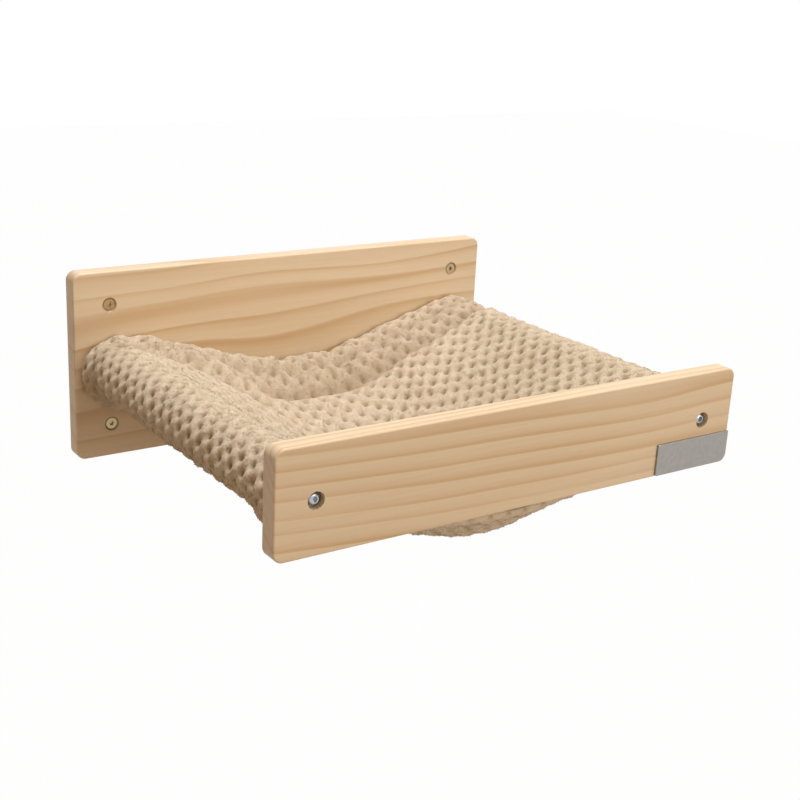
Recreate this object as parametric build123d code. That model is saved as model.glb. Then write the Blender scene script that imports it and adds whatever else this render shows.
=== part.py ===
from build123d import *
import os
from math import acos, atan2, cos, hypot, sin, sqrt

# Wall-mounted cat hammock: two pine boards joined by two round rods, with two layers of
# plush cloth slung round both rods.
# Millimetres. The origin is the centre of the wall board's back face, X runs along the
# boards to the right, Y points into the wall (the front of the object is towards -Y)
# and Z is up.

# Boards
BOARD_LENGTH = 420.0
WALL_BOARD_HEIGHT = 164.0
WALL_BOARD_THICKNESS = 16.0
FRONT_BOARD_HEIGHT = 80.0
FRONT_BOARD_THICKNESS = 16.0
BOARD_CORNER_RADIUS = 8.0
BOARD_EDGE_ROUNDING = 1.5

# Rods that carry the cloth, butted square between the boards
ROD_DIAMETER = 28.0
ROD_LENGTH = 329.0
ROD_END_INSET = 31.5
ROD_HEIGHT = 4.0

# Bolts through the boards into threaded inserts in the rod ends
BOLT_DIAMETER = 6.0
BOLT_LENGTH = 30.0
BOLT_HEAD_DIAMETER = 10.5
BOLT_HEAD_HEIGHT = 3.3
BOLT_HEAD_FLAT_DIAMETER = 6.0
BOLT_HEAD_RIM = 0.6
BOLT_TIP_CHAMFER = 0.8
BOLT_SOCKET_WIDTH = 4.0
BOLT_SOCKET_DEPTH = 2.2
BOLT_HOLE_CLEARANCE = 0.3
BOLT_TIP_CLEARANCE = 2.0
WASHER_DIAMETER = 12.0
WASHER_THICKNESS = 1.6
WASHER_HOLE_CLEARANCE = 0.2
COUNTERBORE_DEPTH = 7.0
COUNTERBORE_CLEARANCE = 0.5
INSERT_DIAMETER = 10.0
INSERT_LENGTH = 15.0
INSERT_FIT_CLEARANCE = 0.05
THREAD_CLEARANCE = 0.05

# How far each cutting shape runs on past the face that it opens
CUT_OVERRUN = 1.0

# Countersunk screws that hold the wall board to the wall
WALL_SCREW_END_INSET = 32.0
WALL_SCREW_EDGE_INSET = 29.0
WALL_SCREW_DIAMETER = 5.0
WALL_SCREW_NECK_DIAMETER = 3.6
WALL_SCREW_LENGTH = 50.0
WALL_SCREW_TIP = 6.0
WALL_SCREW_HEAD_DIAMETER = 9.7
WALL_SCREW_HEAD_RIM = 0.5
WALL_SCREW_HOLE_CLEARANCE = 0.25
WALL_SCREW_SEAT_CLEARANCE = 0.1
COUNTERSINK_DIAMETER = 12.8
RECESS_CORE_DIAMETER = 3.2
RECESS_LOBE_DIAMETER = 1.1
RECESS_DEPTH = 2.0

# Bare metal plate on the front board's lower right corner
BADGE_WIDTH = 78.0
BADGE_HEIGHT = 26.0
BADGE_THICKNESS = 2.0
BADGE_MARGIN = 1.0
BADGE_SMALL_CORNER = 1.0
BADGE_EDGE_ROUNDING = 0.4

# Sling of two cloths, an upper and a lower one, seamed where they meet at the outside of
# the rods. Every drop is measured down from the rods' axis.
CLOTH_THICKNESS = 6.5
CLOTH_SEAM_CLEARANCE = 0.3
CLOTH_ROD_CLEARANCE = 0.8
CLOTH_END_CLEARANCE = 1.0
HEM_CREST_INSET = 12.0
HEM_WIDTH = 28.0
HEM_END_DROP = 18.0
HEM_CREST_DROP = 15.0
HEM_CREASE_DROP = 30.0
DISH_SHOULDER_DROP = 48.0
DISH_FLANK_DROP = 68.0
DISH_DROP = 82.0
BELLY_END_DROP = 54.0
BELLY_CREST_DROP = 60.0
BELLY_CREASE_DROP = 68.0
BELLY_SHOULDER_DROP = 87.0
BELLY_FLANK_DROP = 104.0
BELLY_DROP = 112.0
BELLY_SHIFT = 8.0
HEM_LOOSENESS = 9.5
LOOP_LOOSENESS = 5.5
HEM_LEAN = 0.40
DISH_BEND = 0.57
BELLY_BEND = 0.60
# Hollows pressed into the upper cloth, in rows that are half a step apart. They stand at
# every third of the plush's own dimples.
DIMPLE_STEP_ALONG = 49.2
DIMPLE_STEP_ACROSS = 52.8
DIMPLE_WIDTH = 13.0
DIMPLE_DEPTH = 3.8
DIMPLE_OVERHANG = 6.0

# How far down the slope from hem to middle the cloth's shoulder and flank lie
SHOULDER_SHARE = 0.25
FLANK_SHARE = 0.6

# Places worked out from the sizes above
rod_radius = ROD_DIAMETER / 2
rod_x = BOARD_LENGTH / 2 - ROD_END_INSET
wall_board_front = -WALL_BOARD_THICKNESS
front_board_back = wall_board_front - ROD_LENGTH
front_board_front = front_board_back - FRONT_BOARD_THICKNESS
wall_screw_x = BOARD_LENGTH / 2 - WALL_SCREW_END_INSET
wall_screw_z = WALL_BOARD_HEIGHT / 2 - WALL_SCREW_EDGE_INSET
SIDES = {"left": -1, "right": 1}
LEVELS = {"upper": 1, "lower": -1}
UPPER_DROPS = (
    HEM_END_DROP,
    HEM_CREST_DROP,
    HEM_CREASE_DROP,
    DISH_SHOULDER_DROP,
    DISH_FLANK_DROP,
    DISH_DROP,
)
LOWER_DROPS = (
    BELLY_END_DROP,
    BELLY_CREST_DROP,
    BELLY_CREASE_DROP,
    BELLY_SHOULDER_DROP,
    BELLY_FLANK_DROP,
    BELLY_DROP,
)
TOWARDS_ROOM = -1
TOWARDS_WALL = 1


def aim(solid, x, y, z, facing):
    """Turn a solid made along +Z so that it points along Y, and move it to a point."""
    return Pos(x, y, z) * Rot(X=-90 * facing) * solid


def turned(points, *rim_arcs):
    """Solid of revolution about Z from a half outline (radius, height)."""
    outline = [Line(a, b) for a, b in zip(points, points[1:])]
    outline += list(rim_arcs)
    start = rim_arcs[-1] @ 1 if rim_arcs else points[-1]
    outline.append(Line(start, points[0]))
    return revolve(Plane.XZ * make_face(Curve() + outline), Axis.Z)


def disc(radius, height):
    """Cylinder that stands on the ground plane."""
    return Pos(0, 0, height / 2) * Cylinder(radius, height)


def board(height, thickness, z, y_front):
    """Board with rounded corners and softened edges, standing parallel to the wall."""
    outline = Plane.XZ * RectangleRounded(BOARD_LENGTH, height, BOARD_CORNER_RADIUS)
    slab = Pos(0, y_front + thickness, z) * extrude(outline, amount=thickness)
    faces = slab.faces().filter_by(Axis.Y)
    return fillet([edge for face in faces for edge in face.edges()], BOARD_EDGE_ROUNDING)


def bolt_hole(board_thickness):
    """Stepped hole for a bolt and its washer; the board's outer face is at height 0."""
    counterbore = Pos(0, 0, -COUNTERBORE_DEPTH) * disc(
        WASHER_DIAMETER / 2 + COUNTERBORE_CLEARANCE, COUNTERBORE_DEPTH + CUT_OVERRUN
    )
    shank = Pos(0, 0, -board_thickness - CUT_OVERRUN) * disc(
        BOLT_DIAMETER / 2 + BOLT_HOLE_CLEARANCE, board_thickness + CUT_OVERRUN
    )
    return counterbore + shank


def wall_board():
    slab = board(WALL_BOARD_HEIGHT, WALL_BOARD_THICKNESS, 0, wall_board_front)
    for side in SIDES.values():
        slab -= aim(bolt_hole(WALL_BOARD_THICKNESS), side * rod_x, 0, ROD_HEIGHT, TOWARDS_WALL)
        for level in LEVELS.values():
            slab -= aim(
                countersunk_hole(), side * wall_screw_x, wall_board_front, level * wall_screw_z,
                TOWARDS_ROOM,
            )
    return slab


def front_board():
    slab = board(FRONT_BOARD_HEIGHT, FRONT_BOARD_THICKNESS, ROD_HEIGHT, front_board_front)
    for side in SIDES.values():
        slab -= aim(
            bolt_hole(FRONT_BOARD_THICKNESS), side * rod_x, front_board_front, ROD_HEIGHT,
            TOWARDS_ROOM,
        )
    return slab


def bolt_reach(board_thickness):
    """How far a bolt goes into the rod behind its board."""
    return BOLT_LENGTH - (board_thickness - COUNTERBORE_DEPTH - WASHER_THICKNESS)


def rod(side):
    """Round rod with a stepped hole in each end for an insert and the bolt's tip."""
    middle = (wall_board_front + front_board_back) / 2
    bar = aim(Cylinder(rod_radius, ROD_LENGTH), side * rod_x, middle, ROD_HEIGHT, TOWARDS_WALL)
    ends = (
        (wall_board_front, TOWARDS_WALL, WALL_BOARD_THICKNESS),
        (front_board_back, TOWARDS_ROOM, FRONT_BOARD_THICKNESS),
    )
    for y, facing, thickness in ends:
        depth = max(bolt_reach(thickness), INSERT_LENGTH) + BOLT_TIP_CLEARANCE
        hole = Pos(0, 0, -INSERT_LENGTH) * disc(
            INSERT_DIAMETER / 2 + INSERT_FIT_CLEARANCE, INSERT_LENGTH + CUT_OVERRUN
        )
        hole += Pos(0, 0, -depth) * disc(BOLT_DIAMETER / 2 + BOLT_HOLE_CLEARANCE, depth)
        bar -= aim(hole, side * rod_x, y, ROD_HEIGHT, facing)
    return bar


def rod_insert():
    """Threaded sleeve, flush with the rod's end at height 0, bored for the bolt."""
    sleeve = disc(INSERT_DIAMETER / 2, INSERT_LENGTH)
    sleeve -= Pos(0, 0, -CUT_OVERRUN) * disc(
        BOLT_DIAMETER / 2 + THREAD_CLEARANCE, INSERT_LENGTH + 2 * CUT_OVERRUN
    )
    return Pos(0, 0, -INSERT_LENGTH) * sleeve


def washer():
    """Washer standing on height 0."""
    ring = disc(WASHER_DIAMETER / 2, WASHER_THICKNESS)
    ring -= Pos(0, 0, -CUT_OVERRUN) * disc(
        BOLT_DIAMETER / 2 + WASHER_HOLE_CLEARANCE, WASHER_THICKNESS + 2 * CUT_OVERRUN
    )
    return ring


def bolt():
    """Domed bolt with a six-sided socket; the underside of its head is at height 0."""
    shank = BOLT_DIAMETER / 2
    head = BOLT_HEAD_DIAMETER / 2
    flat = BOLT_HEAD_FLAT_DIAMETER / 2
    points = [
        (0, -BOLT_LENGTH),
        (shank - BOLT_TIP_CHAMFER, -BOLT_LENGTH),
        (shank, BOLT_TIP_CHAMFER - BOLT_LENGTH),
        (shank, 0),
        (head, 0),
        (head, BOLT_HEAD_RIM),
    ]
    bulge = (
        (head + flat + BOLT_HEAD_RIM) / 2,
        (BOLT_HEAD_RIM + BOLT_HEAD_HEIGHT + BOLT_HEAD_RIM) / 2,
    )
    dome = ThreePointArc(points[-1], bulge, (flat, BOLT_HEAD_HEIGHT))
    crown = Line((flat, BOLT_HEAD_HEIGHT), (0, BOLT_HEAD_HEIGHT))
    body = turned(points, dome, crown)
    hexagon = RegularPolygon(BOLT_SOCKET_WIDTH / sqrt(3), 6)
    socket = extrude(hexagon, amount=BOLT_SOCKET_DEPTH + CUT_OVERRUN)
    return body - Pos(0, 0, BOLT_HEAD_HEIGHT - BOLT_SOCKET_DEPTH) * socket


def countersunk_hole():
    """Screw hole with a right-angled countersink; the board's face is at height 0."""
    mouth = COUNTERSINK_DIAMETER / 2
    hole = WALL_SCREW_DIAMETER / 2 + WALL_SCREW_HOLE_CLEARANCE
    through = -WALL_BOARD_THICKNESS - CUT_OVERRUN
    return turned([
        (0, CUT_OVERRUN),
        (mouth, CUT_OVERRUN),
        (mouth, 0),
        (hole, hole - mouth),
        (hole, through),
        (0, through),
    ])


def wall_screw():
    """Countersunk screw; the board's face is at height 0 and the head lies below it.

    A plain neck fills the board's hole, and the thread starts at the board's back.
    """
    thread = WALL_SCREW_DIAMETER / 2
    neck = WALL_SCREW_NECK_DIAMETER / 2
    head = WALL_SCREW_HEAD_DIAMETER / 2
    top = -(COUNTERSINK_DIAMETER / 2 - head - WALL_SCREW_HEAD_RIM - WALL_SCREW_SEAT_CLEARANCE)
    end = top - WALL_SCREW_LENGTH
    points = [
        (0, end),
        (thread, end + WALL_SCREW_TIP),
        (thread, -WALL_BOARD_THICKNESS),
        (neck, -WALL_BOARD_THICKNESS),
        (neck, top - WALL_SCREW_HEAD_RIM - (head - neck)),
        (head, top - WALL_SCREW_HEAD_RIM),
        (head, top),
        (0, top),
    ]
    recess = disc(RECESS_CORE_DIAMETER / 2, RECESS_DEPTH + CUT_OVERRUN)
    lobe = disc(RECESS_LOBE_DIAMETER / 2, RECESS_DEPTH + CUT_OVERRUN)
    for around in PolarLocations(RECESS_CORE_DIAMETER / 2, 6):
        recess += around * lobe
    return turned(points) - Pos(0, 0, top - RECESS_DEPTH) * recess


def badge_plate():
    """Bare plate whose outer lower corner follows the board's corner."""
    right = BOARD_LENGTH / 2 - BADGE_MARGIN
    bottom = ROD_HEIGHT - FRONT_BOARD_HEIGHT / 2 + BADGE_MARGIN
    middle = (right - BADGE_WIDTH / 2, front_board_front, bottom + BADGE_HEIGHT / 2)
    outline = Plane.XZ * Rectangle(BADGE_WIDTH, BADGE_HEIGHT)
    plate = Pos(*middle) * extrude(outline, amount=BADGE_THICKNESS)
    outer, *others = plate.edges().filter_by(Axis.Y).sort_by(lambda e: (e @ 0.5).Z - (e @ 0.5).X)
    plate = fillet(others, BADGE_SMALL_CORNER)
    outer = plate.edges().filter_by(Axis.Y).sort_by(lambda e: (e @ 0.5).Z - (e @ 0.5).X)[0]
    plate = fillet(outer, BOARD_CORNER_RADIUS - BADGE_MARGIN)
    return fillet(plate.faces().sort_by(Axis.Y)[0].edges(), BADGE_EDGE_ROUNDING)


def tangent_normal(from_centre, to_centre, step, turn):
    """Unit normal of a straight line that touches two circles.

    The second centre lies the given step beyond the first along the normal; turn (1 or
    -1) picks one of the two such lines.
    """
    dx = to_centre[0] - from_centre[0]
    dz = to_centre[1] - from_centre[1]
    angle = atan2(dz, dx) + turn * acos(step / hypot(dx, dz))
    return cos(angle), sin(angle)


def along(centre, normal, distance):
    return centre[0] + normal[0] * distance, centre[1] + normal[1] * distance


def bend_radius(half_span, drop, bend):
    """Radius of the cloth's lowest bend, as a part of one even arc from rod to rod."""
    return bend * (half_span ** 2 + drop ** 2) / (2 * drop)


def cloth_skin(upper, drop, looseness, lean, inward):
    """One skin of one cloth across the rods: three arcs' ends and middles, left to right.

    The cloth starts at the seam outside a rod, follows the roll round it, runs down a
    straight flank to one wide bend and up again to the other rod. inward is 0 for the
    outer skin and the cloth's thickness for the inner one.
    """
    level = 1 if upper else -1
    outer = rod_radius + CLOTH_ROD_CLEARANCE + looseness + CLOTH_THICKNESS
    roll = outer - inward
    reach = rod_x - looseness * sin(lean)
    height = ROD_HEIGHT - looseness * cos(lean)
    lowest = ROD_HEIGHT - drop
    bend = bend_radius(reach, height + level * outer - lowest, DISH_BEND if upper else BELLY_BEND)
    bend_centre = (0 if upper else BELLY_SHIFT, lowest + bend)
    bottom = bend + level * inward
    half_seam = CLOTH_SEAM_CLEARANCE / 2
    seam_reach = sqrt(roll ** 2 - half_seam ** 2)
    sides = {}
    for side in SIDES.values():
        centre = (side * reach, height)
        normal = tangent_normal(centre, bend_centre, roll + level * bottom, -level * side)
        seam = (side * seam_reach / roll, level * half_seam / roll)
        middle = (normal[0] + seam[0], normal[1] + seam[1])
        length = hypot(*middle)
        sides[side] = (
            along(centre, seam, roll),
            along(centre, (middle[0] / length, middle[1] / length), roll),
            along(centre, normal, roll),
            along(bend_centre, normal, -level * bottom),
        )
    return [*sides[-1], (bend_centre[0], bend_centre[1] - bottom), *reversed(sides[1])]


def skin_edges(skin, y):
    """Arc round the left rod, flank, bend, flank and arc round the right rod."""
    points = [(x, y, z) for x, z in skin]
    return [
        ThreePointArc(*points[0:3]),
        Line(*points[2:4]),
        ThreePointArc(*points[3:6]),
        Line(*points[5:7]),
        ThreePointArc(*points[6:9]),
    ]


def cloth_section(y, upper, drop, looseness, lean):
    """Cut face of one cloth at one place along the rods."""
    outside = cloth_skin(upper, drop, looseness, lean, 0)
    inside = cloth_skin(upper, drop, looseness, lean, CLOTH_THICKNESS)[::-1]
    edges = skin_edges(outside, y)
    edges.append(Line(edges[-1] @ 1, (inside[0][0], y, inside[0][1])))
    edges += skin_edges(inside, y)
    edges.append(Line(edges[-1] @ 1, edges[0] @ 0))
    return Face(Wire(edges))


def sling_cloth(upper):
    """One cloth lofted through its gathered hems, its creases and its deep middle."""
    length = ROD_LENGTH - 2 * CLOTH_END_CLEARANCE
    half = length / 2
    slope = half - HEM_WIDTH
    hem = (HEM_LOOSENESS, HEM_LEAN)
    loop = (LOOP_LOOSENESS, 0.0)
    insets = (
        (0, *hem),
        (HEM_CREST_INSET, *hem),
        (HEM_WIDTH, *loop),
        (HEM_WIDTH + slope * SHOULDER_SHARE, *loop),
        (HEM_WIDTH + slope * FLANK_SHARE, *loop),
        (half, *loop),
    )
    drops = UPPER_DROPS if upper else LOWER_DROPS
    stations = [(inset, drop, *rest) for (inset, *rest), drop in zip(insets, drops)]
    stations += [(length - inset, *rest) for inset, *rest in reversed(stations[:-1])]
    start = wall_board_front - CLOTH_END_CLEARANCE
    return loft([cloth_section(start - inset, upper, *rest) for inset, *rest in stations])


def dimpled(cloth):
    """Press round hollows square to the cloth's top, from rod to rod between the hems."""
    radius = ((DIMPLE_WIDTH / 2) ** 2 + DIMPLE_DEPTH ** 2) / (2 * DIMPLE_DEPTH)
    middle = (wall_board_front + front_board_back) / 2
    last_row = int((ROD_LENGTH / 2 - HEM_CREST_INSET) // (DIMPLE_STEP_ALONG / 2))
    last_column = int((rod_x + DIMPLE_OVERHANG) // (DIMPLE_STEP_ACROSS / 2))
    hollows = []
    for row in range(-last_row, last_row + 1):
        for column in range(-last_column, last_column + 1):
            if (row + column) % 2:
                continue
            x = column * DIMPLE_STEP_ACROSS / 2
            y = middle + row * DIMPLE_STEP_ALONG / 2
            hits = cloth.find_intersection_points(Axis((x, y, BOARD_LENGTH), (0, 0, -1)))
            top, normal = max(hits, key=lambda hit: hit[0].Z)
            outward = normal if normal.Z > 0 else -normal
            centre = top + outward * (radius - DIMPLE_DEPTH)
            hollows.append(Pos(centre.X, centre.Y, centre.Z) * Sphere(radius))
    return cloth.cut(*hollows)


parts = {
    "wall_board": wall_board(),
    "front_board": front_board(),
    "sling_upper_cloth": dimpled(sling_cloth(upper=True)),
    "sling_lower_cloth": sling_cloth(upper=False),
    "badge_plate": badge_plate(),
}
for name, side in SIDES.items():
    x = side * rod_x
    parts[f"rod_{name}"] = rod(side)
    washer_seat = front_board_front + COUNTERBORE_DEPTH
    head_seat = washer_seat - WASHER_THICKNESS
    parts[f"front_washer_{name}"] = aim(washer(), x, washer_seat, ROD_HEIGHT, TOWARDS_ROOM)
    parts[f"front_bolt_{name}"] = aim(bolt(), x, head_seat, ROD_HEIGHT, TOWARDS_ROOM)
    parts[f"front_insert_{name}"] = aim(rod_insert(), x, front_board_back, ROD_HEIGHT, TOWARDS_ROOM)
    washer_seat = -COUNTERBORE_DEPTH
    head_seat = washer_seat + WASHER_THICKNESS
    parts[f"rear_washer_{name}"] = aim(washer(), x, washer_seat, ROD_HEIGHT, TOWARDS_WALL)
    parts[f"rear_bolt_{name}"] = aim(bolt(), x, head_seat, ROD_HEIGHT, TOWARDS_WALL)
    parts[f"rear_insert_{name}"] = aim(rod_insert(), x, wall_board_front, ROD_HEIGHT, TOWARDS_WALL)
    for level_name, level in LEVELS.items():
        parts[f"wall_screw_{level_name}_{name}"] = aim(
            wall_screw(), side * wall_screw_x, wall_board_front, level * wall_screw_z, TOWARDS_ROOM
        )

os.makedirs("parts", exist_ok=True)
for name, solid in parts.items():
    export_step(solid, f"parts/{name}.step")
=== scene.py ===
import bpy
import numpy as np
from mathutils import Matrix


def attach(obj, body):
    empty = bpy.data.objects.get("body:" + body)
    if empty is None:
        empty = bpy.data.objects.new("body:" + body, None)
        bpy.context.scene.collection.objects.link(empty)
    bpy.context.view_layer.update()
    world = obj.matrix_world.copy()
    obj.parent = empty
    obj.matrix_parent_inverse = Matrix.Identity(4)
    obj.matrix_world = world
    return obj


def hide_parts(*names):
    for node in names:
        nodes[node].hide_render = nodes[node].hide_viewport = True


# Looks of a wall-mounted cat hammock: pine boards, a plush sling with pressed dimples,
# and metal fasteners. Metres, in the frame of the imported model.

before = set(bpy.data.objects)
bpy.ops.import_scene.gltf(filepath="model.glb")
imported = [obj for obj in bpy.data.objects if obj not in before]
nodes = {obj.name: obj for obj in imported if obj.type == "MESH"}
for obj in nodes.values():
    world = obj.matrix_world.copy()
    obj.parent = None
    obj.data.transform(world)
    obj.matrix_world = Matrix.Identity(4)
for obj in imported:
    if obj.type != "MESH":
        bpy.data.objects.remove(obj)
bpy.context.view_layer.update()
MM = 0.001

# Sizes in millimetres that the sling shares with the solids it dresses
ROD_RADIUS = 14.0
ROD_X = 178.5
ROD_Z = 4.0
SLING_REAR = -17.0
SLING_FRONT = -344.0
CLOTH_THICKNESS = 6.5
ROD_GAP = 0.8

# Pressed lattice of the plush: one dimple at each corner and one in the middle of a cell
CELL_ALONG = 16.4
CELL_ROUND = 17.6
DIMPLE_DEPTH = 5.4
PUFF_LIFT = 1.3

# Camera of the photo: its lens in millimetres, its place and its own axes
PHOTO_LENS = 60.05
CAMERA_PLACE = (-0.5972, -1.0496, 0.3442)
CAMERA_RIGHT = (0.8279, -0.5589, 0.0481)
CAMERA_UP = (0.1393, 0.2879, 0.9475)
CAMERA_BACK = (-0.5433, -0.7777, 0.3162)


# Numbers that look random and are the same on each run

def lattice_noise(x, y, seed):
    """Smooth value noise: hashed corner values of a unit lattice, blended by a quintic."""
    xi, yi = np.floor(x).astype(np.int64), np.floor(y).astype(np.int64)
    fx, fy = x - xi, y - yi
    fx, fy = (f * f * f * (f * (f * 6 - 15) + 10) for f in (fx, fy))

    def corner(i, j):
        h = (i * 374761393 + j * 668265263 + seed * 974711) & 0xFFFFFFFF
        h = ((h ^ (h >> 13)) * 1274126177) & 0xFFFFFFFF
        return ((h ^ (h >> 16)) & 0xFFFF) / 32767.5 - 1

    low = corner(xi, yi) * (1 - fx) + corner(xi + 1, yi) * fx
    high = corner(xi, yi + 1) * (1 - fx) + corner(xi + 1, yi + 1) * fx
    return low * (1 - fy) + high * fy


def smooth_through(places, values, at):
    """Curve through the given points: a Catmull-Rom cubic with unequal spacing."""
    places, values = np.asarray(places, float), np.asarray(values, float)
    slopes = np.gradient(values, places)
    i = np.clip(np.searchsorted(places, at) - 1, 0, len(places) - 2)
    gap = places[i + 1] - places[i]
    t = np.clip((at - places[i]) / gap, 0, 1)
    start = values[i] * (1 + 2 * t) * (1 - t) ** 2 + gap * slopes[i] * t * (1 - t) ** 2
    end = values[i + 1] * t * t * (3 - 2 * t) - gap * slopes[i + 1] * t * t * (1 - t)
    return start + end


def bump(x, middle, width):
    """Bell of height 1 about the middle."""
    return np.exp(-((x - middle) / width) ** 2)


# Sling

# How far the bed and the belly hang below the rods' axes, at places inward from the wall
INSETS = (0, 12, 28, 61.875, 109.3, 163.5, 217.7, 265.125, 299, 315, 327)
DISH_DROPS = (18, 15, 30, 48, 68, 82, 68, 48, 30, 15, 18)
BELLY_DROPS = (54, 60, 68, 87, 104, 112, 104, 87, 68, 60, 54)
ROLL_LOOSENESS = (9.5, 9.5, 5.5, 5.5, 5.5, 5.5, 5.5, 5.5, 5.5, 9.5, 9.5)
ROLL_LEANS = (0.4, 0.4, 0, 0, 0, 0, 0, 0, 0, 0.4, 0.4)
DISH_BEND_SHARE, BELLY_BEND_SHARE = 0.57, 0.60
BELLY_SHIFT = 8.0

# Bumps of the lower cloth: height, then middle and width along x and along y
BELLY_BUMPS = (
    (16.0, 54, 46, -264, 52),
    (7.0, 70, 58, -180, 70),
    (1.5, -20, 50, -200, 90),
    (-5.0, 64, 30, -340, 20),
)

# Ridge off the left roll and the gathered band along the rear hem
RIDGE_START, RIDGE_END, RIDGE_REAR, RIDGE_SLOPE = -150, -57, 15, 0.36
RIDGE_RISE, RIDGE_CREASE = 9.0, 8.0
BAND_START, BAND_WIDTH = -64, 45
HEM_RISE, HEM_CREASE, CREASE_WANDER = 3.0, 10.5, 4.0
HEM_SAG, REAR_GATHERS, FRONT_GATHERS = 5.0, 4.0, 2.0

# Slack between the hems: x, distance from the wall side, slope, width and height
SLACK_FOLDS = (
    (95, 78, -0.55, 9, 3.0),
    (60, 120, -0.7, 10, 2.4),
    (-60, 90, 0.5, 10, 2.2),
    (80, 190, 0.6, 11, 2.2),
)
SLACK_REACH = 55

UPPER_COLUMNS, LOWER_COLUMNS, ROWS = 256, 246, 166
UPPER_CELLS, LOWER_CELLS = 27, 26
HEM_INSET = 0.8
STITCH_INSET, STITCH_WIDTH, STITCH_DEPTH = 23, 1.8, 2.8

# Dent of the lower cloth under the left roll: distance from the seam, width and depth
DENT_PLACE, DENT_WIDTH, DENT_DEPTH = 30, 24, 5.5

# Rows of the inner skin, dense where the outer one creases
INNER_INSETS = (
    1.4, 9, 17, 24, 29, 33, 37, 41, 45, 49, 53, 57, 61, 65, 70, 78, 92, 118, 142, 166, 190,
    216, 244, 268, 288, 306, 325.6,
)
INNER_DEPTH = CLOTH_THICKNESS - 0.7

# Tufts of pile in millimetres, and their tilt away from the skin's normal in radians
TUFT_LENGTHS, TUFT_WIDTHS, TUFT_ROOT = (1.8, 3.5), (0.30, 0.54), 0.5
TUFT_TILT, TUFT_TILT_SPREAD, TUFT_TILT_RANGE = 1.27, 0.12, (0.8, 1.45)


def cloth_sections(upper, along):
    """Circles and lines of one cloth's outer face at each place along the rods.

    Each section is an arc round the left rod, a straight flank that touches it, a wide
    bend and the same again to the right rod.
    """
    inset = SLING_REAR - along
    drop = smooth_through(INSETS, DISH_DROPS if upper else BELLY_DROPS, inset)
    loose = smooth_through(INSETS, ROLL_LOOSENESS, inset)
    lean = smooth_through(INSETS, ROLL_LEANS, inset)
    level = 1 if upper else -1
    outer = ROD_RADIUS + ROD_GAP + loose + CLOTH_THICKNESS
    reach = ROD_X - loose * np.sin(lean)
    height = ROD_Z - loose * np.cos(lean)
    low = ROD_Z - drop
    fall = height + level * outer - low
    share = DISH_BEND_SHARE if upper else BELLY_BEND_SHARE
    bend = share * (reach ** 2 + fall ** 2) / (2 * fall)
    return outer, reach, height, low, bend, level


def cloth_grid(upper, across, along, inward):
    """Points and outward normal angles of one skin; across runs from seam to seam, 0 to 1.

    The way round a section is measured along its five parts: the arc on the left rod, the
    left flank, the wide bend, the right flank and the arc on the right rod. Arcs give
    centre plus radius times cosine and sine, and flanks give a share of a straight line.
    """
    outer, reach, height, low, bend, level = (
        v if np.isscalar(v) else v[:, None] for v in cloth_sections(upper, along)
    )
    roll = outer - inward
    bottom = bend + level * inward
    shift = 0.0 if upper else BELLY_SHIFT
    bend_z = low + bend

    def touch(side):
        """Normal angle of the flank that touches both the roll and the bend."""
        dx, dz = shift - side * reach, bend_z - height
        turn = np.arccos((roll + level * bottom) / np.hypot(dx, dz))
        angle = np.arctan2(dz, dx) - level * side * turn
        return np.arctan2(np.sin(angle), np.cos(angle))

    def flank(side, angle):
        """Where the flank leaves the roll, where it meets the bend, and its length."""
        near = side * reach + roll * np.cos(angle), height + roll * np.sin(angle)
        far = shift - level * bottom * np.cos(angle), bend_z - level * bottom * np.sin(angle)
        return near, far, np.hypot(far[0] - near[0], far[1] - near[1])

    left, right = touch(-1), touch(1)
    start, end = np.pi if upper else -np.pi, 0.0
    left_near, left_far, left_length = flank(-1, left)
    right_near, right_far, right_length = flank(1, right)
    lengths = (
        roll * abs(start - left), left_length, bottom * abs(left - right), right_length,
        roll * abs(right - end),
    )
    ends = np.cumsum(np.concatenate(lengths, axis=1), axis=1)
    e0, e1, e2, e3, total = (ends[:, k:k + 1] for k in range(5))
    s = across[None, :] * total
    spans = ((0 * e0, e0), (e0, e1), (e1, e2), (e2, e3), (e3, total))
    t = [np.clip((s - a) / (b - a), 0, 1) for a, b in spans]
    a0 = start + (left - start) * t[0]
    a2 = left + (right - left) * t[2]
    a4 = right + (end - right) * t[4]
    part = [s <= e0, s <= e1, s <= e2, s <= e3]
    angle = np.select(part, [a0, left + 0 * s, a2, right + 0 * s], a4)
    x = np.select(part, [
        -reach + roll * np.cos(a0),
        left_near[0] + (left_far[0] - left_near[0]) * t[1],
        shift - level * bottom * np.cos(a2),
        right_far[0] + (right_near[0] - right_far[0]) * t[3],
    ], reach + roll * np.cos(a4))
    z = np.select(part, [
        height + roll * np.sin(a0),
        left_near[1] + (left_far[1] - left_near[1]) * t[1],
        bend_z - level * bottom * np.sin(a2),
        right_far[1] + (right_near[1] - right_far[1]) * t[3],
    ], height + roll * np.sin(a4))
    return x, along[:, None] + 0 * x, z, s, total + 0 * s, angle


def puffs(s, y, calm):
    """Height of the pressed plush, 0 at the top of a puff and 1 in a dimple.

    Two crossed cosine waves peak together at each dimple. Their product is raised to a
    low power for the furrows and to a high one for the narrow dimples.
    """
    s = s + 1.3 * lattice_noise(s / 21, y / 19, 11) * calm
    y = y + 1.3 * lattice_noise(s / 17 + 40, y / 23, 12) * calm
    wave = np.cos(2 * np.pi * y / CELL_ALONG) * np.cos(2 * np.pi * s / CELL_ROUND)
    broad = (1 + wave) / 2
    return 0.36 * broad ** 1.3 + 0.64 * broad ** 6.5


def hem_mask(y, width):
    """1 at either end of the sling, falling to 0 within the width."""
    rear, front = SLING_REAR - y, y - SLING_FRONT
    return np.exp(-(np.minimum(rear, front) / width) ** 2)


def step_up(x, middle, width):
    """0 well below the middle and 1 well above it."""
    return 1 / (1 + np.exp(-(x - middle) / width))


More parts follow.
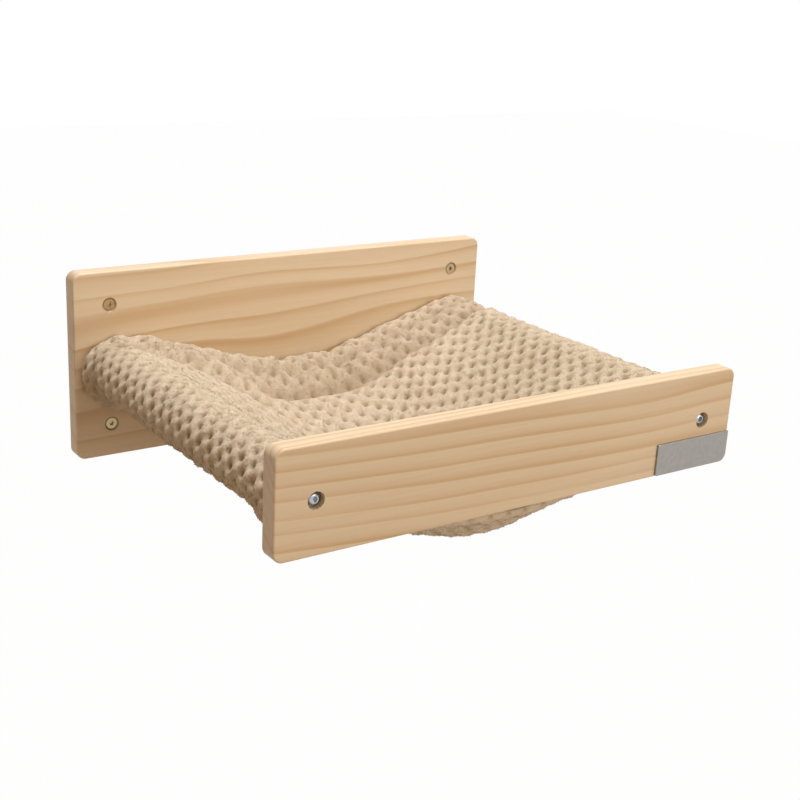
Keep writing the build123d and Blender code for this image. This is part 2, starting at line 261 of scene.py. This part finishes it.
def lower_folds(x, y):
    """Belly of the lower cloth in millimetres: slow noise and a few wide bumps."""
    lift = 1.6 * lattice_noise(x / 60, y / 55, 8)
    for height, x0, x_width, y0, y_width in BELLY_BUMPS:
        lift = lift + height * bump(x, x0, x_width) * bump(y, y0, y_width)
    return lift


def upper_folds(x, y):
    """Folds of the upper cloth in millimetres that add to its even hang.

    Each ridge or crease is a bell across a line. A band along each hem is gathered and
    has a crease beside it, a ridge slants away from the left roll, and slack lies between.
    """
    rear = SLING_REAR - y
    front = y - SLING_FRONT
    lift = 1.8 * lattice_noise(x / 55, y / 60, 5) + 0.9 * lattice_noise(x / 24, y / 26, 6)
    off_ridge = rear - RIDGE_REAR - RIDGE_SLOPE * (x - RIDGE_START)
    ridge = RIDGE_RISE * bump(off_ridge, 0, 9) - RIDGE_CREASE * bump(off_ridge, 16, 6)
    lift = lift + step_up(-x, -RIDGE_END, 4) * step_up(x, RIDGE_START, 8) * ridge
    off_crease = rear - BAND_WIDTH - CREASE_WANDER * lattice_noise(x / 45, 0 * x, 31)
    band = HEM_RISE * bump(rear, 20, 14) - HEM_CREASE * bump(off_crease, 0, 7.5)
    lift = lift + step_up(x, BAND_START, 6) * (band + 1.5 * bump(off_crease, 16, 9))
    lift = lift - HEM_SAG * bump(x, 15, 62) * bump(rear, 4, 22)
    gathers = lattice_noise((x - 0.25 * rear) / 11, rear / 60, 21)
    gathered = REAR_GATHERS * bump(rear, 22, 18) + FRONT_GATHERS * bump(front, 16, 14)
    lift = lift + gathers * gathered
    lift = lift + bump(x, 0, 150) * (2.0 * bump(front, 14, 11) - 3.5 * bump(front, 34, 8))
    for x0, rear0, slope, width, height in SLACK_FOLDS:
        off_fold = rear - rear0 - slope * (x - x0)
        lift = lift + height * bump(off_fold, 0, width) * bump(x, x0, SLACK_REACH)
    return lift


def half_skin(upper, columns, along, inward):
    """One cloth's skin from its left seam to its right one, without the last column.

    The folds fade out on upright stretches and near the seams on the rods.
    """
    across = np.arange(columns) / columns
    x, y, z, s, total, angle = cloth_grid(upper, across, along, inward)
    at_seam = np.minimum(s, total - s)
    round_cells = (s / total) * (UPPER_CELLS if upper else -LOWER_CELLS) * CELL_ROUND
    fade = np.clip(1 - abs(np.cos(angle)) * 0.9, 0, 1) * np.clip(at_seam / 40, 0, 1)
    settle = (upper_folds if upper else lower_folds)(x, y) * fade
    if not upper:
        dent = DENT_DEPTH * bump(s, DENT_PLACE, DENT_WIDTH)
        settle = settle - dent * (1 - hem_mask(y, 30))
    grids = [x, y, z, np.cos(angle), np.sin(angle), round_cells, at_seam, settle]
    if not upper:
        grids = [np.roll(g[:, ::-1], 1, axis=1) for g in grids]
    return grids


def whole_skin(along, inward):
    """Both cloths' skins as one loop: over the top to the right, and back underneath.

    Gives x, y, z, the two parts of the normal, the way round in dimple cells, the
    distance to the seam, and the folds' height.
    """
    top = half_skin(True, UPPER_COLUMNS, along, inward)
    under = half_skin(False, LOWER_COLUMNS, along, inward)
    x, y, z, _, _, angle = cloth_grid(True, np.array([1.0]), along, inward)
    cells = 0 * x + UPPER_CELLS * CELL_ROUND
    seam = [x, y, z, np.cos(angle), np.sin(angle), cells, 0 * x, 0 * x]
    return [np.concatenate([t, m, u[:, 1:]], axis=1) for t, m, u in zip(top, seam, under)]


def sling_skin():
    """Outer points of the plush, with each point's dimple depth and painted shade.

    A point is its place on the section curve plus, along the normal, the puff less the
    dimple, fine grain, the rounded hem, the stitch line and the folds.
    """
    along = np.linspace(SLING_REAR - HEM_INSET, SLING_FRONT + HEM_INSET, ROWS)
    x, y, z, nx, nz, cells, at_seam, settle = whole_skin(along, 0.0)
    calm = np.clip(at_seam / 16, 0, 1)
    well = puffs(cells, y, calm)
    grain = 0.5 * lattice_noise(cells / 6.2, y / 5.7, 71)
    grain = grain + 0.2 * lattice_noise(cells / 4.4, y / 4.1, 72)
    stitch = bump(SLING_REAR - y, STITCH_INSET, STITCH_WIDTH)
    stitch = stitch + bump(y - SLING_FRONT, STITCH_INSET, STITCH_WIDTH)
    push = PUFF_LIFT - DIMPLE_DEPTH * well * (1 - 0.35 * hem_mask(y, 10))
    push = push + grain * (1 - well) * calm
    push = push - 3.0 * hem_mask(y, 3.0) - STITCH_DEPTH * stitch + settle
    # Painted shade, kept as "seam": stitch grooves, sunk creases, the dent under the left roll,
    # and a band along the rear hem
    shade = stitch + 2.4 * np.clip(-settle / 8, 0, 1) + 1.3 * bump(SLING_REAR - y, 26, 17)
    return np.stack([x + nx * push, y, z + nz * push], -1), well, shade


def sling_piece(name, outer, well, shade):
    """Closed tube of cloth: an outer grid of puffs and an even inner one, joined at the hems.

    An inner point is its place on the inner section curve plus the outer skin's folds.
    """
    along = SLING_REAR - np.array(INNER_INSETS[::-1])
    x, y, z, nx, nz, _, _, _ = whole_skin(along, INNER_DEPTH)
    settle = whole_skin(along, 0.0)[-1]
    inner = np.stack([x + nx * settle, y, z + nz * settle], -1)
    points = np.concatenate([outer.reshape(-1, 3), inner.reshape(-1, 3)]) * MM
    columns = outer.shape[1]
    grid = np.arange((ROWS + len(along)) * columns).reshape(-1, columns)
    after, beyond = np.roll(grid, -1, axis=0), np.roll(grid, -1, axis=1)
    faces = np.stack([grid, beyond, np.roll(beyond, -1, axis=0), after], -1).reshape(-1, 4)
    piece = mesh_piece(name, points, faces)
    bare = np.zeros(inner.shape[0] * columns)
    store(piece, "dimple", np.concatenate([well.ravel(), bare]))
    # The outer skin's painted crease shade; the inner skin gets none
    store(piece, "seam", np.concatenate([shade.ravel(), bare]))
    return piece


def store(piece, label, values):
    """Keep a number for each vertex, which the material reads by its label."""
    layer = piece.data.attributes.new(label, "FLOAT", "POINT")
    layer.data.foreach_set("value", values.astype(np.float32))


def unit(vectors):
    """Each row as a vector of length 1."""
    return vectors / np.linalg.norm(vectors, axis=1)[:, None]


def pile_piece(name, skin, well, shade, first, last, count, seed):
    """Short tufts of pile between two columns of the skin.

    Each tuft is a closed spike of three sides. Its foot stands on the skin at an even
    random place, its direction is normal times cosine plus nap times sine of its tilt, and
    its tip stays clear of the boards.
    """
    draw = np.random.default_rng(seed)
    rows, columns = well.shape
    r = draw.uniform(1.0, rows - 2.001, count)
    c = draw.uniform(first, last, count) % columns
    i, j = r.astype(int), c.astype(int)
    fr, fc = (r - i)[:, None], (c - j)[:, None]
    k = (j + 1) % columns
    near, near_next, far, far_next = skin[i, j], skin[i, k], skin[i + 1, j], skin[i + 1, k]
    place = (near * (1 - fc) + near_next * fc) * (1 - fr) + (far * (1 - fc) + far_next * fc) * fr
    depth = well[i, j]
    around = unit((near_next + far_next - near - far) / 2)
    along = (far + far_next - near - near_next) / 2
    normal = unit(np.cross(along, around))
    nap = np.cross(around, normal)
    swirl = 1.5 * lattice_noise(c / 9, r / 8, seed + 3) + draw.normal(0, 0.55, count)
    lean = np.cos(swirl)[:, None] * nap + np.sin(swirl)[:, None] * around
    tilt = draw.normal(TUFT_TILT, TUFT_TILT_SPREAD, count)
    tilt = np.clip(tilt, *TUFT_TILT_RANGE)[:, None]
    length = draw.uniform(*TUFT_LENGTHS, count)[:, None] * (1 - 0.8 * depth[:, None])
    width = draw.uniform(*TUFT_WIDTHS, count)[:, None]
    direction = normal * np.cos(tilt) + lean * np.sin(tilt)
    side = unit(np.cross(direction, normal))
    lift = np.cross(side, direction)
    foot = place - normal * TUFT_ROOT
    turns = 2 * np.pi / 3 * np.arange(3)
    ring = [foot + width * (np.cos(a) * side + np.sin(a) * lift) for a in turns]
    tip = foot + direction * length
    tip[:, 1] = np.clip(tip[:, 1], SLING_FRONT, SLING_REAR)
    points = np.stack([*ring, tip], 1).reshape(-1, 3) * MM
    start = np.arange(count)[:, None] * 4
    sides = np.array([(0, 1, 3), (1, 2, 3), (2, 0, 3), (0, 2, 1)])
    faces = (start[:, :, None] + sides[None]).reshape(-1, 3)
    piece = mesh_piece(name, points, faces)
    # Each tuft carries its foot's dimple depth for painted shade, halved at the tip
    store(piece, "dimple", np.repeat(depth, 4) * np.tile((1.0, 1.0, 1.0, 0.5), count))
    # Painted crease shade of the skin under the tuft's foot
    store(piece, "seam", np.repeat(shade[i, j], 4))
    return piece


def mesh_piece(name, points, faces):
    """Smooth mesh object at the origin from points and equal-sided faces."""
    mesh = bpy.data.meshes.new(name)
    mesh.vertices.add(len(points))
    mesh.vertices.foreach_set("co", np.asarray(points, np.float32).ravel())
    sides = faces.shape[1]
    mesh.loops.add(faces.size)
    mesh.loops.foreach_set("vertex_index", faces.astype(np.int32).ravel())
    mesh.polygons.add(len(faces))
    mesh.polygons.foreach_set("loop_start", np.arange(0, faces.size, sides, dtype=np.int32))
    mesh.polygons.foreach_set("use_smooth", np.ones(len(faces), bool))
    mesh.update(calc_edges=True)
    piece = bpy.data.objects.new(name, mesh)
    bpy.context.scene.collection.objects.link(piece)
    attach(piece, "root")
    return piece


# Shader expressions

class Wire:
    """A socket in a material; operators add Math nodes."""

    def __init__(self, shop, socket):
        self.shop, self.socket = shop, socket

    def _math(self, operation, *values):
        settings = {"operation": operation}
        return self.shop.node("ShaderNodeMath", settings, dict(enumerate(values)))[0]

    def __add__(self, other):
        return self._math("ADD", self, other)

    def __sub__(self, other):
        return self._math("SUBTRACT", self, other)

    def __mul__(self, other):
        return self._math("MULTIPLY", self, other)

    def __truediv__(self, other):
        return self._math("DIVIDE", self, other)

    def __pow__(self, other):
        return self._math("POWER", self, other)

    def __rsub__(self, other):
        return self._math("SUBTRACT", other, self)

    def __rpow__(self, other):
        return self._math("POWER", other, self)

    def __rtruediv__(self, other):
        return self._math("DIVIDE", other, self)

    def __neg__(self):
        return self._math("MULTIPLY", self, -1.0)

    __radd__ = __add__
    __rmul__ = __mul__

    def at_least(self, other):
        return self._math("MAXIMUM", self, other)

    def floor(self):
        return self._math("FLOOR", self)


class Shop:
    """One material and the nodes that make it."""

    def __init__(self, name):
        self.material = bpy.data.materials.new(name)
        self.material.use_nodes = True
        self.tree = self.material.node_tree
        self.tree.nodes.clear()
        self.shader = self.tree.nodes.new("ShaderNodeBsdfPrincipled")
        end = self.tree.nodes.new("ShaderNodeOutputMaterial")
        self.tree.links.new(self.shader.outputs[0], end.inputs["Surface"])

    def node(self, kind, settings=None, values=None):
        """Add a node, apply its settings and then its inputs; returns its outputs."""
        made = self.tree.nodes.new(kind)
        for key, value in (settings or {}).items():
            if key == "stops":
                ramp = made.color_ramp
                while len(ramp.elements) < len(value):
                    ramp.elements.new(0.5)
                for element, (place, colour) in zip(ramp.elements, value):
                    element.position = place
                    element.color = colour if len(colour) == 4 else (*colour, 1)
            else:
                setattr(made, key, value)
        for key, value in (values or {}).items():
            self.put(made.inputs[key], value)
        return [Wire(self, out) for out in made.outputs]

    def put(self, socket, value):
        if isinstance(value, Wire):
            self.tree.links.new(value.socket, socket)
        else:
            socket.default_value = value

    def set(self, **values):
        """Feed the shader's sockets, named with underscores for spaces."""
        for key, value in values.items():
            self.put(self.shader.inputs[key.replace("_", " ")], value)

    def place(self):
        return self.node("ShaderNodeTexCoord")[3]

    def mapped(self, vector, scale=(1, 1, 1), shift=(0, 0, 0), turn=(0, 0, 0)):
        values = {"Vector": vector, "Location": shift, "Rotation": turn, "Scale": scale}
        return self.node("ShaderNodeMapping", {}, values)[0]

    def noise(self, vector, scale, detail=3.0, rough=0.5, warp=0.0):
        values = {
            "Vector": vector, "Scale": scale, "Detail": detail, "Roughness": rough,
            "Distortion": warp,
        }
        return self.node("ShaderNodeTexNoise", {}, values)[0]

    def ramp(self, value, *stops):
        """A number curve through the stops, each a place and a value."""
        greys = [(place, (grey, grey, grey)) for place, grey in stops]
        made = self.node("ShaderNodeValToRGB", {"stops": greys}, {"Fac": value})[0]
        return self.split(made)[0]

    def mix(self, amount, first, second):
        """First colour at amount 0 and second at 1."""
        values = {0: amount, 6: first, 7: second}
        return self.node("ShaderNodeMix", {"data_type": "RGBA"}, values)[2]

    def attribute(self, label):
        return self.node("ShaderNodeAttribute", {"attribute_name": label})[2]

    def bumped(self, height, distance, strength):
        values = {"Height": height, "Distance": distance, "Strength": strength}
        return self.node("ShaderNodeBump", {}, values)[0]

    def split(self, vector):
        return self.node("ShaderNodeSeparateXYZ", {}, {"Vector": vector})

    def join(self, x, y, z):
        return self.node("ShaderNodeCombineXYZ", {}, {"X": x, "Y": y, "Z": z})[0]


# Looks of the wood, the plush and the metal

EARLY_WOOD_DARK, EARLY_WOOD_PALE = (0.705, 0.558, 0.372, 1), (0.790, 0.658, 0.470, 1)
LATE_WOOD = (0.530, 0.305, 0.115, 1)
FIBRE_TINT = (0.55, 0.355, 0.175, 1)
PORE_TINT = (0.44, 0.27, 0.13, 1)
COUNTERSINK_SHADE_TINT = (0.20, 0.11, 0.045, 1)

# Darkness through one growth ring: pale early wood, then a sharp late line
RING_STOPS = ((0.0, 0.02), (0.35, 0.10), (0.68, 0.46), (0.90, 1), (0.955, 0.75), (1.0, 0.02))
PORE_STOPS = ((0.0, 0), (0.66, 0), (0.80, 1))

# Front face of the wall board, and its screw holes as x, z and radius in metres
WALL_FACE_Y = -0.016
WALL_HOLES = ((0.1780, 0.053, 0.0056),)
# Width of the ring of painted shade round each screw hole, and its reach off the wall face
SHADE_RING_WIDTH, SHADE_RING_DEPTH = 0.0008, 0.004

PLUSH_DARK, PLUSH_PALE = (0.600, 0.490, 0.352, 1), (0.705, 0.598, 0.452, 1)
# Painted highlight for the raised nap, painted shade for its hollows
PLUSH_RAISED_HIGHLIGHT, PLUSH_HOLLOW_SHADE = (0.820, 0.735, 0.595, 1), (0.500, 0.365, 0.225, 1)
# Painted shade down the dimples' slopes and on their floors
DIMPLE_SLOPE_SHADE, DIMPLE_FLOOR_SHADE = (0.400, 0.285, 0.170, 1), (0.190, 0.110, 0.048, 1)
# Painted shade for creases, stitch grooves and the rear hem band
CREASE_SHADE_TINT = (0.330, 0.230, 0.135, 1)


def pine_material(
    name, heart, tilt, ring_scale, seed, sway=1.0, depth=1.9, long_axis="x", holes=()
):
    """Planed pine: growth rings about a slanting pith line outside the piece.

    The heart is the pith line's place across the grain. The distance from that line, bent
    by slow noise, drives rings of pale early wood that darken to a sharp late-wood line.
    Fibres and pores are noise drawn out along the grain. A ring of painted shade darkens
    each wall screw's countersunk hole.
    """
    shop = Shop(name)
    place = shop.place()
    if long_axis == "y":
        px, py, pz = shop.split(place)
        place = shop.join(py, px, pz)
    sway_a = shop.noise(shop.mapped(place, (2.2, 5, 5), (seed, 0, 0)), 1.0, 1.0, 0.45)
    sway_b = shop.noise(shop.mapped(place, (3.1, 6, 6), (seed + 7, 2, 1)), 1.0, 1.0, 0.45)
    turned = shop.mapped(place, (1, 1, 1), (0, 0, 0), tilt)
    x, y, z = shop.split(turned)
    y = y - heart[0] + (sway_a - 0.5) * (0.060 * sway)
    z = z - heart[1] + (sway_b - 0.5) * (0.075 * sway)
    distance = (y * y + z * z) ** 0.5
    uneven = shop.noise(shop.join(distance * 22.0, x * 0.6, seed * 1.0), 1.0, 2.0, 0.6)
    phase = distance * ring_scale + uneven * 2.6
    late = shop.ramp(phase - phase.floor(), *RING_STOPS)
    fibre = shop.noise(shop.mapped(place, (9, 420, 420), (seed, 3, 5)), 1.0, 5.0, 0.62)
    fleck = shop.noise(shop.mapped(place, (34, 1500, 1500), (seed + 1, 3, 5)), 1.0, 2.0, 0.6)
    tone = shop.noise(shop.mapped(place, (3.0, 9, 9), (seed + 2, 0, 0)), 1.0, 2.0, 0.5)
    strength = shop.noise(shop.join(distance * 38.0, x * 2.6, seed + 3.0), 1.0, 1.0, 0.5)
    amount = late * ((strength - 0.22).at_least(0.0) * depth)
    colour = shop.mix(tone, EARLY_WOOD_DARK, EARLY_WOOD_PALE)
    colour = shop.mix(amount, colour, LATE_WOOD)
    colour = shop.mix((fibre - 0.5) * 0.42 + 0.12, colour, FIBRE_TINT)
    colour = shop.mix(shop.ramp(fleck, *PORE_STOPS) * 0.16, colour, PORE_TINT)
    # Painted shade: a dark ring at each wall screw's countersink, mirrored to all four holes
    for hole_x, hole_z, radius in holes:
        px, py, pz = shop.split(place)
        px, pz = (px * px) ** 0.5 - hole_x, (pz * pz) ** 0.5 - hole_z
        rim = ((px * px + pz * pz) ** 0.5 - radius) / SHADE_RING_WIDTH
        deep = (py - WALL_FACE_Y) / SHADE_RING_DEPTH
        dark = 2.718 ** (-(rim * rim + deep * deep)) * 0.75
        colour = shop.mix(dark, colour, COUNTERSINK_SHADE_TINT)
    relief = fibre * 0.6 + fleck * 0.25 - late * 0.5
    shop.set(
        Base_Color=colour,
        Roughness=0.50 + late * -0.10 + (fibre - 0.5) * 0.20,
        Normal=shop.bumped(relief, 0.00022, 0.5),
        Coat_Weight=0.10,
        Coat_Roughness=0.35,
    )
    return shop.material


def plush_material(name):
    """Short soft pile: warm cream, fine ruffled nap, painted shade and painted highlight."""
    shop = Shop(name)
    place = shop.place()
    dimple = shop.attribute("dimple")
    seam = shop.attribute("seam")
    tuft = shop.noise(place, 420.0, 4.0, 0.62, 0.6)
    ruffle = shop.noise(place, 150.0, 3.0, 0.55, 0.8)
    cloud = shop.noise(place, 22.0, 2.0, 0.5)
    pile = shop.noise(place, 1500.0, 3.0, 0.65)
    colour = shop.mix(cloud, PLUSH_DARK, PLUSH_PALE)
    # Painted highlight where the ruffle noise, which also raises the bump, is high
    colour = shop.mix((ruffle - 0.40).at_least(0.0) * 1.9, colour, PLUSH_RAISED_HIGHLIGHT)
    # Painted shade where the tuft noise, which also raises the bump, is low
    colour = shop.mix((0.56 - tuft).at_least(0.0) * 1.6, colour, PLUSH_HOLLOW_SHADE)
    # Painted shade down the dimples' slopes, darkest on their floors
    colour = shop.mix(dimple ** 0.8 * 0.30, colour, DIMPLE_SLOPE_SHADE)
    colour = shop.mix(dimple ** 2.0 * 0.90, colour, DIMPLE_FLOOR_SHADE)
    # Painted shade from the "seam" attribute: creases, stitch grooves, rear hem band
    colour = shop.mix(shop.ramp(seam * 0.25, (0, 0), (1, 0.85)), colour, CREASE_SHADE_TINT)
    shop.set(
        Base_Color=colour,
        Roughness=0.92 - tuft * 0.08,
        Normal=shop.bumped(ruffle * 0.5 + tuft * 0.7 + pile * 0.22, 0.0012, 0.6),
        Sheen_Weight=0.45,
        Sheen_Roughness=0.45,
        Sheen_Tint=(1.0, 0.93, 0.80, 1),
        Specular_IOR_Level=0.15,
    )
    return shop.material


def metal_material(name, light, dark, rough, brush=(1, 1, 1)):
    """Plated metal: streaks drawn along one axis, cloudy stains and fine scratches."""
    shop = Shop(name)
    place = shop.place()
    streak = shop.noise(shop.mapped(place, brush), 900.0, 4.0, 0.6)
    stain = shop.noise(place, 240.0, 3.0, 0.55)
    slanted = shop.mapped(place, (1, 1, 1), (0, 0, 0), (0.3, 0.5, 0.7))
    scratch = shop.noise(slanted, 2600.0, 2.0, 0.7)
    shop.set(
        Base_Color=shop.mix(stain * 0.6 + streak * 0.3, dark, light),
        Roughness=rough + (streak - 0.5) * 0.22 + (stain - 0.5) * 0.06,
        Normal=shop.bumped(streak * 0.6 + scratch * 0.4, 0.00004, 0.6),
        Metallic=1.0,
    )
    return shop.material


PINE = pine_material(
    "planed_pine", (0.05, -0.115), (0, 0.060, 0.02), 62.0, 1.0, holes=WALL_HOLES
)
PINE_FRONT = pine_material(
    "planed_pine_front", (-0.430, 0.075), (0, -0.045, 0.0), 112.0, 5.0, 0.42, 2.5
)
ROD_PINE = pine_material(
    "turned_pine", (0.0, -0.03), (0, 0.02, 0), 120.0, 9.0, long_axis="y"
)
PLUSH = plush_material("embossed_plush")
STEEL = metal_material("zinc_plate", (0.66, 0.68, 0.70, 1), (0.24, 0.26, 0.29, 1), 0.25)
YELLOW = metal_material(
    "yellow_zinc_plate", (0.64, 0.51, 0.30, 1), (0.28, 0.19, 0.08, 1), 0.32
)
SATIN = metal_material(
    "satin_nickel", (0.43, 0.40, 0.365, 1), (0.27, 0.25, 0.225, 1), 0.36, (1, 1, 14)
)

FINISHES = {
    "wall_board": PINE, "front_board": PINE_FRONT, "rod": ROD_PINE, "badge": SATIN,
    "front_bolt": STEEL, "rear_bolt": STEEL, "front_washer": STEEL, "rear_washer": STEEL,
    "wall_screw": YELLOW, "front_insert": YELLOW, "rear_insert": YELLOW,
}

# Tufts of pile, in four pieces between columns of the skin: name, first, last and seed
PILES = (
    ("pile_left", -60, 62, 101),
    ("pile_middle", 62, 194, 102),
    ("pile_right", 194, 316, 103),
    ("pile_under", 316, 443, 104),
)
TUFTS_IN_A_PILE = 36000


for node_name, node in nodes.items():
    for start, material in FINISHES.items():
        if node_name.startswith(start):
            node.data.materials.clear()
            node.data.materials.append(material)

skin, well, shade = sling_skin()
sling = sling_piece("sling_plush", skin, well, shade)
sling.data.materials.append(PLUSH)
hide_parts("sling_upper_cloth", "sling_lower_cloth")
for name, first, last, seed in PILES:
    pile = pile_piece(name, skin, well, shade, first, last, TUFTS_IN_A_PILE, seed)
    pile.data.materials.append(PLUSH)


# Room, lamps and camera

WHITE = (1, 1, 1, 1)
WHITE_SHARE = 0.985
FLOOR_HALF, FLOOR_LEVEL = 6.0, -0.62
FLOOR_COLOUR = (0.52, 0.44, 0.36, 1)
FILL_COLOUR, FILL_STRENGTH = (1.0, 0.75, 0.52, 1), 0.38
MIDDLE = (0, -0.18, 0)


def straight_ray(tree):
    """Socket that is 1 for what the camera, mirrors and glass see."""
    path = tree.nodes.new("ShaderNodeLightPath")
    found = path.outputs["Is Camera Ray"]
    for way in ("Is Glossy Ray", "Is Transmission Ray"):
        join = tree.nodes.new("ShaderNodeMath")
        join.operation = "MAXIMUM"
        tree.links.new(found, join.inputs[0])
        tree.links.new(path.outputs[way], join.inputs[1])
        found = join.outputs[0]
    return found


def plain_surface(name, colour):
    """Matt surface that the camera, mirrors and glass see as nearly white."""
    material = bpy.data.materials.new(name)
    material.use_nodes = True
    tree = material.node_tree
    tree.nodes.clear()
    matt = tree.nodes.new("ShaderNodeBsdfDiffuse")
    matt.inputs["Color"].default_value = colour
    end = tree.nodes.new("ShaderNodeOutputMaterial")
    seen = tree.nodes.new("ShaderNodeEmission")
    seen.inputs["Color"].default_value = WHITE
    mix = tree.nodes.new("ShaderNodeMixShader")
    share = tree.nodes.new("ShaderNodeMath")
    share.operation = "MULTIPLY"
    share.inputs[1].default_value = WHITE_SHARE
    tree.links.new(straight_ray(tree), share.inputs[0])
    tree.links.new(share.outputs[0], mix.inputs["Fac"])
    tree.links.new(matt.outputs[0], mix.inputs[1])
    tree.links.new(seen.outputs[0], mix.inputs[2])
    tree.links.new(mix.outputs[0], end.inputs["Surface"])
    return material


def floor_piece():
    """Level square under the object."""
    corners = ((-1, -1), (1, -1), (1, 1), (-1, 1))
    points = [(FLOOR_HALF * x, FLOOR_HALF * y, FLOOR_LEVEL) for x, y in corners]
    mesh = bpy.data.meshes.new("floor")
    mesh.from_pydata(points, [], [(0, 1, 2, 3)])
    floor = bpy.data.objects.new("floor", mesh)
    bpy.context.scene.collection.objects.link(floor)
    mesh.materials.append(plain_surface("pale_floor", FLOOR_COLOUR))


def lamp(name, place, target, size, power, colour):
    """Square soft lamp that faces the target."""
    light = bpy.data.lights.new(name, "AREA")
    light.size = size
    light.energy = power
    light.color = colour
    holder = bpy.data.objects.new(name, light)
    bpy.context.scene.collection.objects.link(holder)
    place, target = np.array(place, float), np.array(target, float)
    back = (place - target) / np.linalg.norm(place - target)
    right = np.cross((0, 0, 1), back)
    right /= np.linalg.norm(right)
    up = np.cross(back, right)
    holder.matrix_world = matrix_from(right, up, back, place)


def matrix_from(right, up, back, place):
    """Matrix of an object whose own axes point right, up and back."""
    rows = np.eye(4)
    rows[:3, 0], rows[:3, 1], rows[:3, 2], rows[:3, 3] = right, up, back, place
    return Matrix(rows.tolist())


def white_world():
    """Even light all round, which the camera, mirrors and glass see as plain white."""
    world = bpy.data.worlds.new("studio")
    bpy.context.scene.world = world
    world.use_nodes = True
    tree = world.node_tree
    tree.nodes.clear()
    seen = tree.nodes.new("ShaderNodeBackground")
    seen.inputs["Color"].default_value = WHITE
    seen.inputs["Strength"].default_value = 1.0
    fill = tree.nodes.new("ShaderNodeBackground")
    fill.inputs["Color"].default_value = FILL_COLOUR
    fill.inputs["Strength"].default_value = FILL_STRENGTH
    mix = tree.nodes.new("ShaderNodeMixShader")
    tree.links.new(straight_ray(tree), mix.inputs["Fac"])
    tree.links.new(fill.outputs[0], mix.inputs[1])
    tree.links.new(seen.outputs[0], mix.inputs[2])
    end = tree.nodes.new("ShaderNodeOutputWorld")
    tree.links.new(mix.outputs[0], end.inputs["Surface"])


white_world()
floor_piece()
lamp("key", (0.30, -0.42, 2.35), MIDDLE, 0.75, 53, (0.98, 1.0, 1.04))
lamp("front", (0.7, -2.6, 0.6), MIDDLE, 1.4, 24, (1.0, 0.97, 0.93))

camera_data = bpy.data.cameras.new("camera")
camera_data.lens = PHOTO_LENS
camera = bpy.data.objects.new("camera", camera_data)
bpy.context.scene.collection.objects.link(camera)
camera.matrix_world = matrix_from(CAMERA_RIGHT, CAMERA_UP, CAMERA_BACK, CAMERA_PLACE)
bpy.context.scene.camera = camera
bpy.context.scene.view_settings.view_transform = "Standard"
